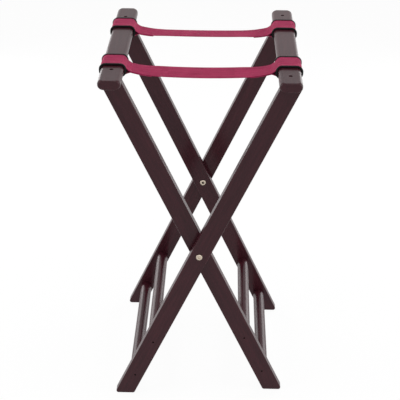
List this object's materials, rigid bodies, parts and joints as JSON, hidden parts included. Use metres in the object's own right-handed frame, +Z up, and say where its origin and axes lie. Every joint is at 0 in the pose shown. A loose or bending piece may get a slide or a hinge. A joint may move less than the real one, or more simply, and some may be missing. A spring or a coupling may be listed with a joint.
{
  "type": "folding stand",
  "caption": "Tall wooden stand with two crossed frames that fold on one pivot line, a rail across each top, and two webbing straps between the rails to carry a case or tray.",
  "frame": {"origin": "on the floor, under the middle of the stand: X = 0 is the pivot line and Y = 0 the middle of the rails", "axes": "+Z up, Y along the rails and the pivot line, +X towards the outer frame's rail"},
  "size_m": [0.4122, 0.45, 0.792],
  "materials": {
    "wood": "dark mahogany stain under gloss lacquer",
    "webbing": "burgundy woven webbing",
    "collar": "black, glossy",
    "brass": "pale brass, satin",
    "steel": "dark steel"
  },
  "bodies": {
    "outer_frame": {"right_rail": "wood", "outer_leg_front": "wood", "outer_leg_back": "wood", "outer_rung_upper": "wood", "outer_rung_lower": "wood", "outer_nail_upper_front": "steel", "outer_nail_upper_back": "steel", "outer_nail_lower_front": "steel", "outer_nail_lower_back": "steel", "right_rail_screw_front": "steel", "right_rail_screw_back": "steel", "right_collar_front": "collar", "right_collar_back": "collar", "right_strap_loop_front": "webbing", "right_strap_loop_back": "webbing", "pivot_screw_front": "brass", "pivot_screw_back": "brass", "pivot_barrel_front": "brass", "pivot_barrel_back": "brass", "pivot_washer_front": "steel", "pivot_washer_back": "steel"},
    "inner_frame": {"left_rail": "wood", "inner_leg_front": "wood", "inner_leg_back": "wood", "inner_rung_upper": "wood", "inner_rung_lower": "wood", "inner_nail_upper_front": "steel", "inner_nail_upper_back": "steel", "inner_nail_lower_front": "steel", "inner_nail_lower_back": "steel", "left_rail_screw_front": "steel", "left_rail_screw_back": "steel", "left_collar_front": "collar", "left_collar_back": "collar", "left_strap_loop_front": "webbing", "left_strap_loop_back": "webbing"},
    "left_strap_drop": {"left_strap_drop_front": "webbing", "left_strap_drop_back": "webbing"},
    "left_strap_turn": {"left_strap_turn_front": "webbing", "left_strap_turn_back": "webbing"},
    "right_strap_drop": {"right_strap_drop_front": "webbing", "right_strap_drop_back": "webbing"},
    "right_strap_turn": {"right_strap_turn_front": "webbing", "right_strap_turn_back": "webbing"}
  },
  "joints": [
    {"name": "fold", "type": "hinge", "parent": "outer_frame", "child": "inner_frame", "pos_m": [0, 0, 0.3715], "axis": [0, 1, 0], "range_deg": [0, 38]},
    {"name": "left_strap_hang", "type": "hinge", "parent": "inner_frame", "child": "left_strap_drop", "pos_m": [-0.15505, 0, 0.766], "axis": [0, 1, 0], "range_deg": [0, 52], "deforming": ["left_strap_drop_front", "left_strap_drop_back"]},
    {"name": "left_strap_bend", "type": "hinge", "parent": "left_strap_drop", "child": "left_strap_turn", "pos_m": [-0.01126, 0, 0.76477], "axis": [0, 1, 0], "range_deg": [-90, 0], "deforming": ["left_strap_turn_front", "left_strap_turn_back"]},
    {"name": "right_strap_hang", "type": "hinge", "parent": "outer_frame", "child": "right_strap_drop", "pos_m": [0.15505, 0, 0.766], "axis": [0, 1, 0], "range_deg": [-90, 0], "deforming": ["right_strap_drop_front", "right_strap_drop_back"]},
    {"name": "right_strap_bend", "type": "hinge", "parent": "right_strap_drop", "child": "right_strap_turn", "pos_m": [0.02309, 0, 0.76486], "axis": [0, 1, 0], "range_deg": [0, 90], "deforming": ["right_strap_turn_front", "right_strap_turn_back"]}
  ],
  "couplings": [
    {"joint": "left_strap_hang", "follows": "fold", "ratio": 1.3684},
    {"joint": "left_strap_bend", "follows": "fold", "ratio": -2.3684},
    {"joint": "right_strap_hang", "follows": "fold", "ratio": -2.3684},
    {"joint": "right_strap_bend", "follows": "fold", "ratio": 2.3684}
  ]
}
